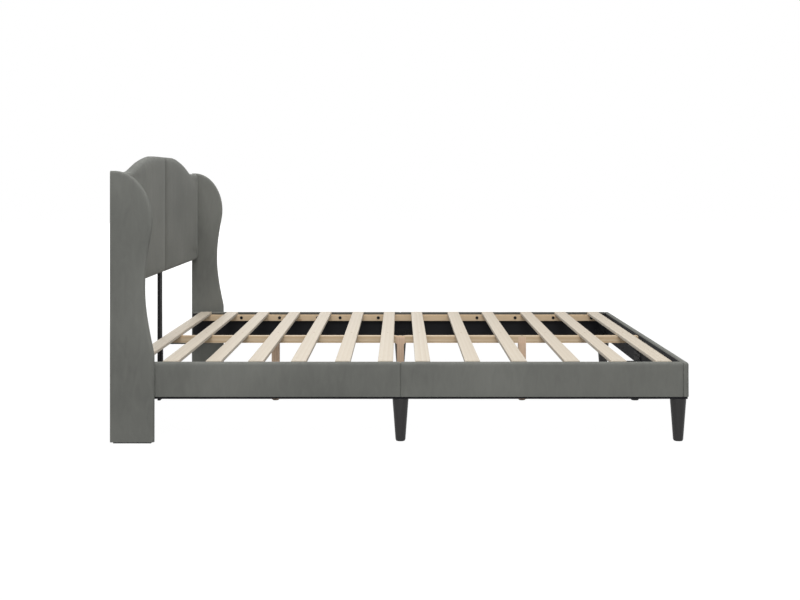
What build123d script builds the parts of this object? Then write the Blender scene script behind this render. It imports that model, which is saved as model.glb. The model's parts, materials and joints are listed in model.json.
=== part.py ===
# Upholstered bed frame: a padded headboard between two shaped wings, padded rails on
# turned legs, and slats that lie on ledger strips and a centre beam.
# Millimetres. +X runs from head to foot, +Y to the left side, +Z up. The origin is on
# the floor, midway along and across the bed.

import os

from build123d import *

os.makedirs("parts", exist_ok=True)

# Whole bed
bed_length = 2130
bed_width = 1628
wing_height = 1000
headboard_height = 1066
floor_clearance = 158
rail_height = 136
seat_gap = 0.5
bolt_clearance = 0.2
overrun = 20

# Wings
wing_thickness = 22
wing_depth = 161
wing_side_pad = 3
wing_edge_pad = 5
wing_edge_radius = 8
wing_foot_height = 4
wing_foot_inset = 6
wing_curve_shares = [(1, 0.315), (0.974, 0.345), (0.788, 0.572), (0.917, 0.755), (0.958, 0.81)]
wing_crest_share = 0.085

# Headboard
headboard_bottom = 564
headboard_board_thickness = 20
headboard_side_depth = 34.5
headboard_crown_depth = 3.6
headboard_edge_pad = 6
headboard_edge_radius = 10
headboard_corner_radius = 14
back_cloth_thickness = 1
seam_width = 24
seam_depth = 6
seam_notch_width = 6
seam_notch_depth = 3
headboard_shoulder_drop = 6
headboard_curve_shares = [(0.177, 1), (0.391, 0.812), (0.581, 0.45), (0.694, 0.146), (0.8, 0)]

# Rails
rail_thickness = 22
rail_outer_pad = 6
rail_top_pad = 4
rail_lip = 3
rail_head_gap = 10
rail_edge_radius = 10
rail_end_radius = 3
lining_thickness = 1
lining_band = 5.5

# Ledger strips and slats
ledger_width = 28
ledger_height = 30
ledger_top_drop = 12
ledger_foot_gap = 19
ledger_head_gap = 30
ledger_count = 3
ledger_bolt_inset = 57
ledger_bolts_each = 4
ledger_bolt_drop = 14
slat_width = 56
slat_thickness = 14
wood_edge_radius = 2
slat_end_gap = 2
slat_place_shares = [0.0319, 0.0963, 0.1721, 0.2469, 0.3222, 0.4004, 0.4762,
                     0.5424, 0.6301, 0.7131, 0.8065, 0.889, 0.969]

# Centre beam and its legs
beam_width = 30
beam_height = 30
beam_head_gap = 12
centre_leg_width = 33
centre_leg_offsets = (-548, 534)
centre_leg_lap_thickness = 8
centre_leg_lap_drop = 3.5
middle_leg_width = 31
middle_leg_head_width = 40
middle_leg_head_drop = 4
tenon_width = 16

# Head post and beam brackets
post_width = 40
post_thickness = 13
post_lap = 200
beam_bracket_thickness = 5
head_bracket_length = 110
head_bracket_drop = 100
foot_bracket_length = 50
foot_bracket_drop = 40

# Tapered legs and the steel brackets above them
leg_top_radius = 30
leg_bottom_radius = 18.5
leg_edge_radius = 1.5
leg_foot_inset = 5
glide_height = 5
glide_inset = 1.5
glide_edge_radius = 2
leg_bracket_length = 120
leg_bracket_height = 50
leg_bracket_reach = 50
leg_plate_thickness = 3
leg_flange_thickness = 4

# Bolts and screws: shank radius, length, head radius, head height
ledger_bolt = (3, 41, 8, 3)
bracket_bolt = (3, 15, 6, 3.5)
rail_wing_bolt = (3, 37, 6, 4)
headboard_bolt = (3, 46, 5, 4)
centre_leg_bolt = (3, 70, 6, 4.5)
slat_screw = (2, 28, 4.5, 2.5)
bracket_screw = (2.5, 17, 4.5, 2)
hanger_bolt_radius = 4
hanger_bolt_depth = 40
hanger_bolt_rise = 6

# Places of bolts and screws
bracket_bolt_height = 32
bracket_bolt_offsets = (20, 45)
corner_bolt_offsets = (16, 40)
rail_wing_bolt_offsets = (35, 115)
rail_wing_bolt_rise = 68
headboard_bolt_shares = (0.2, 0.5, 0.8)
middle_bolt_offset = 10
head_bracket_screw_offsets = (50, 90)
head_bracket_screw_drops = (25, 75)
foot_bracket_screw_offsets = (18, 36)
foot_bracket_screw_spacing = 18
foot_bracket_screw_drop = 25
post_screw_rises = (60, 110, 160)

# Planes that the pieces share
back_x = -bed_length / 2
foot_x = bed_length / 2
wing_outer_y = bed_width / 2
rail_outer_y = wing_outer_y - wing_thickness
rail_inner_y = rail_outer_y - rail_thickness
rail_top = floor_clearance + rail_height
rail_start_x = back_x + rail_head_gap
foot_rail_x = foot_x - rail_thickness
headboard_half = rail_outer_y - seat_gap
board_back_x = back_x + back_cloth_thickness
board_front_x = board_back_x + headboard_board_thickness
board_middle_x = (board_back_x + board_front_x) / 2
post_front_x = board_back_x + post_thickness
support_top = rail_top - ledger_top_drop
support_bottom = support_top - ledger_height
beam_bottom = support_top - beam_height
slat_top = support_top + slat_thickness
ledger_inner_y = rail_inner_y - ledger_width
ledger_length = (foot_rail_x - ledger_foot_gap - rail_start_x) / ledger_count
ledger_bolt_pitch = (ledger_length - 2 * ledger_bolt_inset) / (ledger_bolts_each - 1)
ledger_bolt_z = support_top - ledger_bolt_drop
leg_y = rail_outer_y - leg_top_radius
leg_x = foot_x - leg_top_radius - leg_foot_inset
leg_places = [(0, -leg_y), (0, leg_y), (leg_x, -leg_y), (leg_x, leg_y), (leg_x, 0)]
bracket_bolt_z = floor_clearance + bracket_bolt_height
tenon_length = middle_leg_head_width / 2
slat_places = [rail_start_x + share * (foot_rail_x - rail_start_x) for share in slat_place_shares]

ledger_head_x = rail_start_x + ledger_head_gap
ledger_starts = [rail_start_x + number * ledger_length for number in range(ledger_count)]
ledger_bolt_places = [start + ledger_bolt_inset + step * ledger_bolt_pitch
                      for start in ledger_starts for step in range(ledger_bolts_each)]
joint_bolt_places = [sign * offset for sign in (-1, 1) for offset in bracket_bolt_offsets]
corner_bolt_places = [foot_rail_x - offset for offset in corner_bolt_offsets]
rail_wing_bolt_places = [back_x + offset for offset in rail_wing_bolt_offsets]
rail_wing_bolt_z = floor_clearance + rail_wing_bolt_rise
headboard_bolt_heights = [headboard_bottom + share * (wing_height - headboard_bottom)
                          for share in headboard_bolt_shares]

sides = (("right", -1), ("left", 1))
rail_halves = (("head", rail_start_x, 0), ("foot", 0, foot_rail_x))


def keep(piece, name):
    """Label a finished piece and write its STEP file."""
    piece.part.label = name
    export_step(piece.part, f"parts/{name}.step")


def block(x_limits, y_limits, z_limits, mode=Mode.ADD):
    """A box between two limits on each axis."""
    limits = (x_limits, y_limits, z_limits)
    middle = tuple((low + high) / 2 for low, high in limits)
    lengths = [abs(high - low) for low, high in limits]
    with Locations(middle):
        Box(*lengths, mode=mode)


def rod(start, direction, length, radius, mode=Mode.ADD):
    """A cylinder that begins at a point and runs along a direction."""
    with Locations(Plane(origin=start, z_dir=direction)):
        Cylinder(radius, length, align=(Align.CENTER, Align.CENTER, Align.MIN), mode=mode)


def bolt(seat, direction, sizes):
    """A bolt whose head stands on its seat and whose shank runs along the direction."""
    radius, length, head_radius, head_height = sizes
    away = tuple(-part for part in direction)
    rod(seat, direction, length, radius)
    rod(seat, away, head_height, head_radius)


def bolt_hole(seat, direction, sizes, sunk=False):
    """The hole for a bolt, with room for its head above the seat where it is sunk."""
    radius, length, head_radius, head_height = sizes
    away = tuple(-part for part in direction)
    rod(seat, direction, length + bolt_clearance, radius + bolt_clearance, Mode.SUBTRACT)
    if sunk:
        rod(seat, away, head_height, head_radius + bolt_clearance, Mode.SUBTRACT)


def slab_plane(side, inner_y, outer_y):
    """The plane from which an extrusion fills the slab between two distances on one side."""
    return Plane.XZ.offset(min(-side * inner_y, -side * outer_y))


# Wings: the front edge is straight at the base, draws in to a waist, swells below the
# shoulder and rounds over to the flat top.
def wing_outline(inset, bottom):
    """The side view of a wing, drawn in by an inset, down to a given height."""
    back = back_x + inset
    top = wing_height - inset
    curve = [(back_x + x_share * wing_depth - inset, z_share * wing_height)
             for x_share, z_share in wing_curve_shares]
    crest_x = back_x + wing_crest_share * wing_depth
    belly_x, belly_z = curve[-1]
    Polyline((crest_x, top), (back, top), (back, bottom), (curve[0][0], bottom), curve[0])
    Spline(*curve, tangents=[(0, 1), (0, 1)])
    EllipticalCenterArc((crest_x, belly_z), belly_x - crest_x, top - belly_z, 0, arc_size=90)


wing_board_inner_y = rail_outer_y + wing_side_pad
wing_board_outer_y = wing_outer_y - wing_side_pad
headboard_bolt_seat_y = wing_board_outer_y - headboard_bolt[3]

for side_name, side in sides:
    with BuildPart() as wing_board:
        with BuildSketch(slab_plane(side, wing_board_inner_y, wing_board_outer_y)):
            with BuildLine():
                wing_outline(wing_edge_pad, wing_foot_height)
            make_face()
        extrude(amount=wing_board_outer_y - wing_board_inner_y)
        for x in rail_wing_bolt_places:
            bolt_hole((x, side * rail_inner_y, rail_wing_bolt_z), (0, side, 0), rail_wing_bolt)
        for z in headboard_bolt_heights:
            seat = (board_middle_x, side * headboard_bolt_seat_y, z)
            bolt_hole(seat, (0, -side, 0), headboard_bolt, sunk=True)
    keep(wing_board, f"{side_name}_wing_board")

    with BuildPart() as wing_cover:
        with BuildSketch(slab_plane(side, rail_outer_y, wing_outer_y)):
            with BuildLine():
                wing_outline(0, wing_foot_height)
            make_face()
        extrude(amount=wing_thickness)
        faces_across = wing_cover.faces().sort_by(Axis.Y)
        rim = faces_across[0].edges() + faces_across[-1].edges()
        rim = rim.filter_by_position(Axis.Z, wing_foot_height + wing_edge_radius, wing_height)
        rim = rim.filter_by_position(Axis.X, back_x + seat_gap, back_x + wing_depth)
        fillet(rim, wing_edge_radius)
        with BuildSketch(slab_plane(side, wing_board_inner_y, wing_board_outer_y)):
            with BuildLine():
                wing_outline(wing_edge_pad, wing_foot_height - overrun)
            make_face()
        extrude(amount=wing_board_outer_y - wing_board_inner_y, mode=Mode.SUBTRACT)
        for x in rail_wing_bolt_places:
            bolt_hole((x, side * rail_inner_y, rail_wing_bolt_z), (0, side, 0), rail_wing_bolt)
        for z in headboard_bolt_heights:
            bolt_hole((board_middle_x, side * wing_board_inner_y, z), (0, -side, 0), headboard_bolt)
    keep(wing_cover, f"{side_name}_wing_cover")


# Headboard: level shoulders beside the wings, rising in an S to a flat crown.
def headboard_outline(inset):
    """The front view of the headboard, drawn in by an inset."""
    half = headboard_half - inset
    bottom = headboard_bottom + inset
    shoulder = wing_height - headboard_shoulder_drop - inset
    corner = headboard_corner_radius - inset
    rise = headboard_height - inset - shoulder
    curve = [(y_share * rail_outer_y, shoulder + z_share * rise)
             for y_share, z_share in headboard_curve_shares]
    other = [(-y, z) for y, z in curve]
    Line(curve[0], other[0])
    for sign, points in ((1, curve), (-1, other)):
        Spline(*points, tangents=[(sign, 0), (sign, 0)])
        Line(points[-1], (sign * (half - corner), shoulder))
        Line((sign * half, shoulder - corner), (sign * half, bottom + corner))
        CenterArc((sign * (half - corner), shoulder - corner), corner, 90 - sign * 90, sign * 90)
        CenterArc((sign * (half - corner), bottom + corner), corner, 270, sign * 90)
    Line((-half + corner, bottom), (half - corner, bottom))


headboard_front_x = back_x + headboard_side_depth
crown_half = headboard_half + overrun
post_recess_y = post_width / 2 + bolt_clearance
post_screw_seats = [(board_back_x + bracket_screw[3], 0, headboard_bottom + rise)
                    for rise in post_screw_rises]

with BuildPart() as headboard_board:
    with BuildSketch(Plane.YZ.offset(board_back_x)):
        with BuildLine():
            headboard_outline(headboard_edge_pad)
        make_face()
    extrude(amount=headboard_board_thickness)
    block((board_back_x, post_front_x), (-post_recess_y, post_recess_y),
          (headboard_bottom, headboard_bottom + post_lap + bolt_clearance), Mode.SUBTRACT)
    for seat in post_screw_seats:
        bolt_hole(seat, (1, 0, 0), bracket_screw)
    for side_name, side in sides:
        for z in headboard_bolt_heights:
            seat = (board_middle_x, side * headboard_bolt_seat_y, z)
            bolt_hole(seat, (0, -side, 0), headboard_bolt)
keep(headboard_board, "headboard_board")

with BuildPart() as headboard_pad:
    with BuildSketch(Plane.YZ.offset(back_x)):
        with BuildLine():
            headboard_outline(0)
        make_face()
    extrude(amount=headboard_side_depth + headboard_crown_depth)
    with BuildSketch(Plane.XY):
        with BuildLine():
            ThreePointArc((headboard_front_x, -crown_half),
                          (headboard_front_x + headboard_crown_depth, 0),
                          (headboard_front_x, crown_half))
            Polyline((headboard_front_x, crown_half), (back_x - overrun, crown_half),
                     (back_x - overrun, -crown_half), (headboard_front_x, -crown_half))
        make_face()
    extrude(amount=headboard_height + overrun, mode=Mode.INTERSECT)
    front_rim = headboard_pad.faces().sort_by(Axis.X)[-1].edges()
    fillet(front_rim, headboard_edge_radius)
    with BuildSketch(Plane.XY.offset(headboard_bottom - overrun)):
        with Locations((headboard_front_x + headboard_crown_depth, 0)):
            Ellipse(seam_depth, seam_width / 2)
    extrude(amount=headboard_height - headboard_bottom + 2 * overrun, mode=Mode.SUBTRACT)
    with BuildSketch(Plane.YZ.offset(board_front_x)):
        with Locations((0, headboard_height)):
            Ellipse(seam_notch_width / 2, seam_notch_depth)
    extrude(amount=headboard_side_depth, mode=Mode.SUBTRACT)
    with BuildSketch(Plane.YZ.offset(back_x)):
        with BuildLine():
            headboard_outline(headboard_edge_pad)
        make_face()
    extrude(amount=back_cloth_thickness + headboard_board_thickness, mode=Mode.SUBTRACT)
    block((back_x, post_front_x), (-post_recess_y, post_recess_y),
          (headboard_bottom - overrun, headboard_bottom + headboard_edge_pad), Mode.SUBTRACT)
    for side_name, side in sides:
        for z in headboard_bolt_heights:
            seat = (board_middle_x, side * headboard_bolt_seat_y, z)
            bolt_hole(seat, (0, -side, 0), headboard_bolt)
keep(headboard_pad, "headboard_pad")

with BuildPart() as headboard_back_cloth:
    with BuildSketch(Plane.YZ.offset(back_x)):
        with BuildLine():
            headboard_outline(headboard_edge_pad)
        make_face()
    extrude(amount=back_cloth_thickness)
keep(headboard_back_cloth, "headboard_back_cloth")

# Centre post: let into the back of the headboard, down to its glide.
head_bracket_x = post_front_x + beam_bracket_thickness
head_bracket_bolts_x = [post_front_x + offset for offset in head_bracket_screw_offsets]
head_bracket_bolts_z = [beam_bottom - drop for drop in head_bracket_screw_drops]
head_bracket_screw_seats = [((x, 0, beam_bottom - beam_bracket_thickness), (0, 0, 1))
                            for x in head_bracket_bolts_x]
head_bracket_screw_seats += [((head_bracket_x, 0, z), (-1, 0, 0)) for z in head_bracket_bolts_z]

with BuildPart() as headboard_post:
    block((board_back_x, post_front_x), (-post_width / 2, post_width / 2),
          (glide_height, headboard_bottom + post_lap))
    for seat in post_screw_seats:
        bolt_hole(seat, (1, 0, 0), bracket_screw, sunk=True)
    for seat, direction in head_bracket_screw_seats:
        bolt_hole(seat, direction, bracket_screw)
keep(headboard_post, "headboard_post")

with BuildPart() as beam_head_bracket:
    block((post_front_x, post_front_x + head_bracket_length), (-beam_width / 2, beam_width / 2),
          (beam_bottom - beam_bracket_thickness, beam_bottom))
    block((post_front_x, head_bracket_x), (-beam_width / 2, beam_width / 2),
          (beam_bottom - head_bracket_drop, beam_bottom))
    for seat, direction in head_bracket_screw_seats:
        bolt_hole(seat, direction, bracket_screw)
keep(beam_head_bracket, "beam_head_bracket")

foot_bracket_x = foot_rail_x - beam_bracket_thickness
foot_bracket_screw_seats = [((foot_rail_x - offset, 0, beam_bottom - beam_bracket_thickness), (0, 0, 1))
                            for offset in foot_bracket_screw_offsets]
foot_bracket_screw_seats += [((foot_bracket_x, sign * foot_bracket_screw_spacing / 2,
                               beam_bottom - foot_bracket_screw_drop), (1, 0, 0)) for sign in (-1, 1)]

with BuildPart() as beam_foot_bracket:
    block((foot_rail_x - foot_bracket_length, foot_rail_x), (-beam_width / 2, beam_width / 2),
          (beam_bottom - beam_bracket_thickness, beam_bottom))
    block((foot_bracket_x, foot_rail_x), (-beam_width / 2, beam_width / 2),
          (beam_bottom - foot_bracket_drop, beam_bottom))
    for seat, direction in foot_bracket_screw_seats:
        bolt_hole(seat, direction, bracket_screw)
keep(beam_foot_bracket, "beam_foot_bracket")

with BuildPart() as bracket_screws:
    for seat in post_screw_seats:
        bolt(seat, (1, 0, 0), bracket_screw)
    for seat, direction in head_bracket_screw_seats + foot_bracket_screw_seats:
        bolt(seat, direction, bracket_screw)
keep(bracket_screws, "bracket_screws")

# Side rails, each in two halves that meet in the middle of the bed. The lining covers
# the inner face, passes under the board and shows as a dark band below the cover.
rail_board_outer_y = rail_outer_y - rail_outer_pad
rail_board_inner_y = rail_inner_y + lining_thickness
rail_board_bottom = floor_clearance + lining_thickness
rail_board_top = rail_top - rail_top_pad
lip_bottom = rail_board_top - rail_lip
cover_bottom = floor_clearance + lining_band
lining_outer_y = rail_board_outer_y + lining_thickness


def side_rail_bolt_holes(side, x_limits):
    """The holes that the bolts of one side make in a piece of its rail."""
    low, high = sorted(x_limits)
    ledger_seat_y = side * ledger_inner_y
    bracket_seat_y = side * (rail_inner_y - leg_plate_thickness)
    for x in ledger_bolt_places:
        if low < x < high:
            bolt_hole((x, ledger_seat_y, ledger_bolt_z), (0, side, 0), ledger_bolt)
    for x in joint_bolt_places + corner_bolt_places:
        if low < x < high:
            bolt_hole((x, bracket_seat_y, bracket_bolt_z), (0, side, 0), bracket_bolt)
    for x in rail_wing_bolt_places:
        if low < x < high:
            bolt_hole((x, side * rail_inner_y, rail_wing_bolt_z), (0, side, 0), rail_wing_bolt)


for side_name, side in sides:
    for half_name, start_x, end_x in rail_halves:
        with BuildPart() as rail_board:
            block((start_x, end_x), (side * rail_board_inner_y, side * rail_board_outer_y),
                  (rail_board_bottom, rail_board_top))
            side_rail_bolt_holes(side, (start_x, end_x))
        keep(rail_board, f"{side_name}_rail_{half_name}_board")

        with BuildPart() as rail_cover:
            block((start_x, end_x), (side * rail_inner_y, side * rail_outer_y), (cover_bottom, rail_top))
            outer_face = rail_cover.faces().filter_by(Axis.Y).sort_by(Axis.Y)[-1 if side > 0 else 0]
            fillet(outer_face.edges().filter_by(Axis.X).sort_by(Axis.Z)[-1], rail_edge_radius)
            outer_face = rail_cover.faces().filter_by(Axis.Y).sort_by(Axis.Y)[-1 if side > 0 else 0]
            fillet(outer_face.edges().filter_by(Axis.X).sort_by(Axis.Z)[0], rail_end_radius)
            outer_face = rail_cover.faces().filter_by(Axis.Y).sort_by(Axis.Y)[-1 if side > 0 else 0]
            fillet(outer_face.edges().filter_by(Axis.Z), rail_end_radius)
            block((start_x, end_x), (side * rail_board_inner_y, side * rail_board_outer_y),
                  (cover_bottom - overrun, rail_board_top), Mode.SUBTRACT)
            block((start_x, end_x), (side * (rail_inner_y - overrun), side * rail_board_outer_y),
                  (cover_bottom - overrun, lip_bottom), Mode.SUBTRACT)
            for x in rail_wing_bolt_places:
                if start_x < x < end_x:
                    seat = (x, side * rail_inner_y, rail_wing_bolt_z)
                    bolt_hole(seat, (0, side, 0), rail_wing_bolt)
        keep(rail_cover, f"{side_name}_rail_{half_name}_cover")

lining_halves = ((rail_start_x, -seat_gap / 2), (seat_gap / 2, foot_rail_x))

with BuildPart() as side_rail_linings:
    for side_name, side in sides:
        for start_x, end_x in lining_halves:
            block((start_x, end_x), (side * rail_inner_y, side * rail_board_inner_y),
                  (floor_clearance, lip_bottom))
            block((start_x, end_x), (side * rail_inner_y, side * lining_outer_y),
                  (floor_clearance, rail_board_bottom))
            block((start_x, end_x), (side * rail_board_outer_y, side * lining_outer_y),
                  (floor_clearance, cover_bottom))
        side_rail_bolt_holes(side, (rail_start_x, foot_rail_x))
keep(side_rail_linings, "side_rail_linings")

# Foot rail, across the whole bed in front of the side rails.
foot_board_inner_x = foot_rail_x + lining_thickness
foot_board_outer_x = foot_x - rail_outer_pad
foot_board_half = rail_outer_y - rail_outer_pad
foot_lining_x = foot_board_outer_x + lining_thickness
foot_lining_half = foot_board_half + lining_thickness
foot_rail_bolts_y = joint_bolt_places + [sign * (rail_inner_y - offset)
                                         for sign in (-1, 1) for offset in corner_bolt_offsets]


def foot_rail_bolt_holes():
    """The holes that the leg brackets' bolts and the beam bracket's screws make."""
    for y in foot_rail_bolts_y:
        seat = (foot_rail_x - leg_plate_thickness, y, bracket_bolt_z)
        bolt_hole(seat, (1, 0, 0), bracket_bolt)
    for seat, direction in foot_bracket_screw_seats:
        bolt_hole(seat, direction, bracket_screw)


with BuildPart() as foot_rail_board:
    block((foot_board_inner_x, foot_board_outer_x), (-foot_board_half, foot_board_half),
          (rail_board_bottom, rail_board_top))
    foot_rail_bolt_holes()
keep(foot_rail_board, "foot_rail_board")

with BuildPart() as foot_rail_cover:
    block((foot_rail_x, foot_x), (-rail_outer_y, rail_outer_y), (cover_bottom, rail_top))
    outer_face = foot_rail_cover.faces().sort_by(Axis.X)[-1]
    top_face = foot_rail_cover.faces().sort_by(Axis.Z)[-1]
    rounded = outer_face.edges().filter_by(Axis.Z)
    rounded += top_face.edges().sort_by(Axis.X)[1:]
    fillet(rounded, rail_edge_radius)
    block((foot_board_inner_x, foot_board_outer_x), (-foot_board_half, foot_board_half),
          (cover_bottom - overrun, rail_board_top), Mode.SUBTRACT)
    block((foot_rail_x - overrun, foot_board_outer_x), (-foot_board_half, foot_board_half),
          (cover_bottom - overrun, lip_bottom), Mode.SUBTRACT)
keep(foot_rail_cover, "foot_rail_cover")

with BuildPart() as foot_rail_lining:
    block((foot_rail_x, foot_lining_x), (-foot_lining_half, foot_lining_half),
          (floor_clearance, cover_bottom))
    block((foot_board_inner_x, foot_board_outer_x), (-foot_board_half, foot_board_half),
          (rail_board_bottom, cover_bottom), Mode.SUBTRACT)
    block((foot_rail_x, foot_board_inner_x), (-foot_board_half, foot_board_half),
          (floor_clearance, lip_bottom))
    foot_rail_bolt_holes()
keep(foot_rail_lining, "foot_rail_lining")

# Ledger strips, three along each side rail, bolted through to its board.
ledger_names = ("head", "middle", "foot")

for side_name, side in sides:
    for ledger_name, start_x in zip(ledger_names, ledger_starts):
        with BuildPart() as ledger:
            block((max(start_x, ledger_head_x), start_x + ledger_length),
                  (side * ledger_inner_y, side * rail_inner_y),
                  (support_bottom, support_top))
            fillet(ledger.edges().filter_by(Axis.X), wood_edge_radius)
            for x in ledger_bolt_places:
                if start_x < x < start_x + ledger_length:
                    bolt_hole((x, side * ledger_inner_y, ledger_bolt_z), (0, side, 0), ledger_bolt)
        keep(ledger, f"{side_name}_ledger_{ledger_name}")

with BuildPart() as ledger_bolts:
    for side_name, side in sides:
        for x in ledger_bolt_places:
            bolt((x, side * ledger_inner_y, ledger_bolt_z), (0, side, 0), ledger_bolt)
keep(ledger_bolts, "ledger_bolts")

# Centre beam in two halves. Their tenons meet in the forked head of the middle leg, and
# each half has a housing for the lap of its own leg.
centre_leg_lap_top = support_top - centre_leg_lap_drop
lap_inner_y = -beam_width / 2 + centre_leg_lap_thickness
beam_halves = (("head", head_bracket_x + beam_head_gap, 0, centre_leg_offsets[0]),
               ("foot", 0, foot_rail_x - seat_gap, centre_leg_offsets[1]))
centre_leg_bolt_z = support_top - centre_leg_bolt[3]
slat_screw_z = slat_top - slat_screw[3]
centre_leg_bolt_places = [*centre_leg_offsets, -middle_bolt_offset, middle_bolt_offset]

for half_name, start_x, end_x, housing_x in beam_halves:
    with BuildPart() as centre_beam:
        block((start_x, end_x), (-beam_width / 2, beam_width / 2), (beam_bottom, support_top))
        for sign in (-1, 1):
            block((-tenon_length, tenon_length), (sign * tenon_width / 2, sign * beam_width / 2),
                  (beam_bottom, support_top), Mode.SUBTRACT)
        block((housing_x - centre_leg_width / 2, housing_x + centre_leg_width / 2),
              (-beam_width / 2, lap_inner_y), (beam_bottom, centre_leg_lap_top), Mode.SUBTRACT)
        for x in centre_leg_bolt_places:
            if start_x < x < end_x:
                bolt_hole((x, 0, centre_leg_bolt_z), (0, 0, -1), centre_leg_bolt, sunk=True)
        for x in slat_places:
            if start_x < x < end_x:
                bolt_hole((x, 0, slat_screw_z), (0, 0, -1), slat_screw)
        for seat, direction in head_bracket_screw_seats + foot_bracket_screw_seats:
            if start_x < seat[0] < end_x:
                bolt_hole(seat, direction, bracket_screw)
    keep(centre_beam, f"centre_beam_{half_name}")

# Centre legs
for leg_name, offset in zip(("head", "foot"), centre_leg_offsets):
    with BuildPart() as centre_leg:
        leg_x_limits = (offset - centre_leg_width / 2, offset + centre_leg_width / 2)
        block(leg_x_limits, (-centre_leg_width / 2, centre_leg_width / 2), (glide_height, beam_bottom))
        fillet(centre_leg.edges().filter_by(Axis.Z), wood_edge_radius)
        block(leg_x_limits, (-beam_width / 2, lap_inner_y), (beam_bottom, centre_leg_lap_top))
        bolt_hole((offset, 0, centre_leg_bolt_z), (0, 0, -1), centre_leg_bolt)
    keep(centre_leg, f"centre_leg_{leg_name}")

with BuildPart() as middle_leg:
    block((-tenon_length, tenon_length), (-beam_width / 2, beam_width / 2),
          (beam_bottom - middle_leg_head_drop, centre_leg_lap_top))
    fillet(middle_leg.faces().sort_by(Axis.Z)[0].edges().filter_by(Axis.Y), wood_edge_radius)
    block((-middle_leg_width / 2, middle_leg_width / 2), (-middle_leg_width / 2, middle_leg_width / 2),
          (glide_height, beam_bottom - middle_leg_head_drop))
    block((-tenon_length - overrun, tenon_length + overrun), (-tenon_width / 2, tenon_width / 2),
          (beam_bottom, support_top), Mode.SUBTRACT)
    for x in (-middle_bolt_offset, middle_bolt_offset):
        bolt_hole((x, 0, centre_leg_bolt_z), (0, 0, -1), centre_leg_bolt)
keep(middle_leg, "centre_leg_middle")

with BuildPart() as centre_leg_bolts:
    for x in centre_leg_bolt_places:
        bolt((x, 0, centre_leg_bolt_z), (0, 0, -1), centre_leg_bolt)
keep(centre_leg_bolts, "centre_leg_bolts")

# Slats, from rail to rail on the ledgers and the beam, each with a screw at its middle.
slat_half = rail_inner_y - slat_end_gap

for number, x in enumerate(slat_places, start=1):
    with BuildPart() as slat:
        block((x - slat_width / 2, x + slat_width / 2), (-slat_half, slat_half), (support_top, slat_top))
        fillet(slat.edges().filter_by(Axis.Y), wood_edge_radius)
        bolt_hole((x, 0, slat_screw_z), (0, 0, -1), slat_screw, sunk=True)
    keep(slat, f"slat_{number:02d}")

with BuildPart() as slat_screws:
    for x in slat_places:
        bolt((x, 0, slat_screw_z), (0, 0, -1), slat_screw)
keep(slat_screws, "slat_screws")

# Tapered legs
leg_height = floor_clearance - glide_height
leg_names = ("right_middle_leg", "left_middle_leg", "right_foot_leg", "left_foot_leg", "centre_foot_leg")

for leg_name, (x, y) in zip(leg_names, leg_places):
    with BuildPart() as tapered_leg:
        with Locations((x, y, glide_height)):
            Cone(leg_bottom_radius, leg_top_radius, leg_height,
                 align=(Align.CENTER, Align.CENTER, Align.MIN))
        fillet(tapered_leg.edges().sort_by(Axis.Z)[-1], leg_edge_radius)
        rod((x, y, floor_clearance), (0, 0, -1), hanger_bolt_depth + bolt_clearance,
            hanger_bolt_radius + bolt_clearance, Mode.SUBTRACT)
    keep(tapered_leg, leg_name)

with BuildPart() as leg_bolts:
    for x, y in leg_places:
        rod((x, y, floor_clearance - hanger_bolt_depth), (0, 0, 1),
            hanger_bolt_depth + leg_flange_thickness + hanger_bolt_rise, hanger_bolt_radius)
keep(leg_bolts, "leg_bolts")

# Steel brackets over the tapered legs, straight at the joints and the foot's middle and
# turned at the corners: plates bolted to the rails and a flange on each leg.
plate_z = (floor_clearance, floor_clearance + leg_bracket_height)
flange_z = (floor_clearance, floor_clearance + leg_flange_thickness)
bracket_half = leg_bracket_length / 2
plate_inner_y = rail_inner_y - leg_plate_thickness
plate_inner_x = foot_rail_x - leg_plate_thickness
flange_inner_y = rail_inner_y - leg_bracket_reach
flange_inner_x = foot_rail_x - leg_bracket_reach


def leg_hole(x, y):
    """The hole for a hanger bolt through a flange."""
    rod((x, y, floor_clearance), (0, 0, 1), leg_flange_thickness,
        hanger_bolt_radius + bolt_clearance, Mode.SUBTRACT)


with BuildPart() as leg_brackets:
    for side_name, side in sides:
        block((-bracket_half, bracket_half), (side * plate_inner_y, side * rail_inner_y), plate_z)
        block((-bracket_half, bracket_half), (side * flange_inner_y, side * rail_inner_y), flange_z)
        for x in joint_bolt_places:
            bolt_hole((x, side * plate_inner_y, bracket_bolt_z), (0, side, 0), bracket_bolt)
    block((plate_inner_x, foot_rail_x), (-bracket_half, bracket_half), plate_z)
    block((flange_inner_x, foot_rail_x), (-bracket_half, bracket_half), flange_z)
    for y in joint_bolt_places:
        bolt_hole((plate_inner_x, y, bracket_bolt_z), (1, 0, 0), bracket_bolt)
    for side_name, side in sides:
        corner_y = (side * flange_inner_y, side * rail_inner_y)
        block((flange_inner_x, foot_rail_x), (side * plate_inner_y, side * rail_inner_y), plate_z)
        block((plate_inner_x, foot_rail_x), corner_y, plate_z)
        block((flange_inner_x, foot_rail_x), corner_y, flange_z)
        for x in corner_bolt_places:
            bolt_hole((x, side * plate_inner_y, bracket_bolt_z), (0, side, 0), bracket_bolt)
        for offset in corner_bolt_offsets:
            seat = (plate_inner_x, side * (rail_inner_y - offset), bracket_bolt_z)
            bolt_hole(seat, (1, 0, 0), bracket_bolt)
    for x, y in leg_places:
        leg_hole(x, y)
keep(leg_brackets, "leg_brackets")

with BuildPart() as bracket_bolts:
    for side_name, side in sides:
        for x in joint_bolt_places + corner_bolt_places:
            bolt((x, side * plate_inner_y, bracket_bolt_z), (0, side, 0), bracket_bolt)
    for y in foot_rail_bolts_y:
        bolt((plate_inner_x, y, bracket_bolt_z), (1, 0, 0), bracket_bolt)
keep(bracket_bolts, "bracket_bolts")

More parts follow.
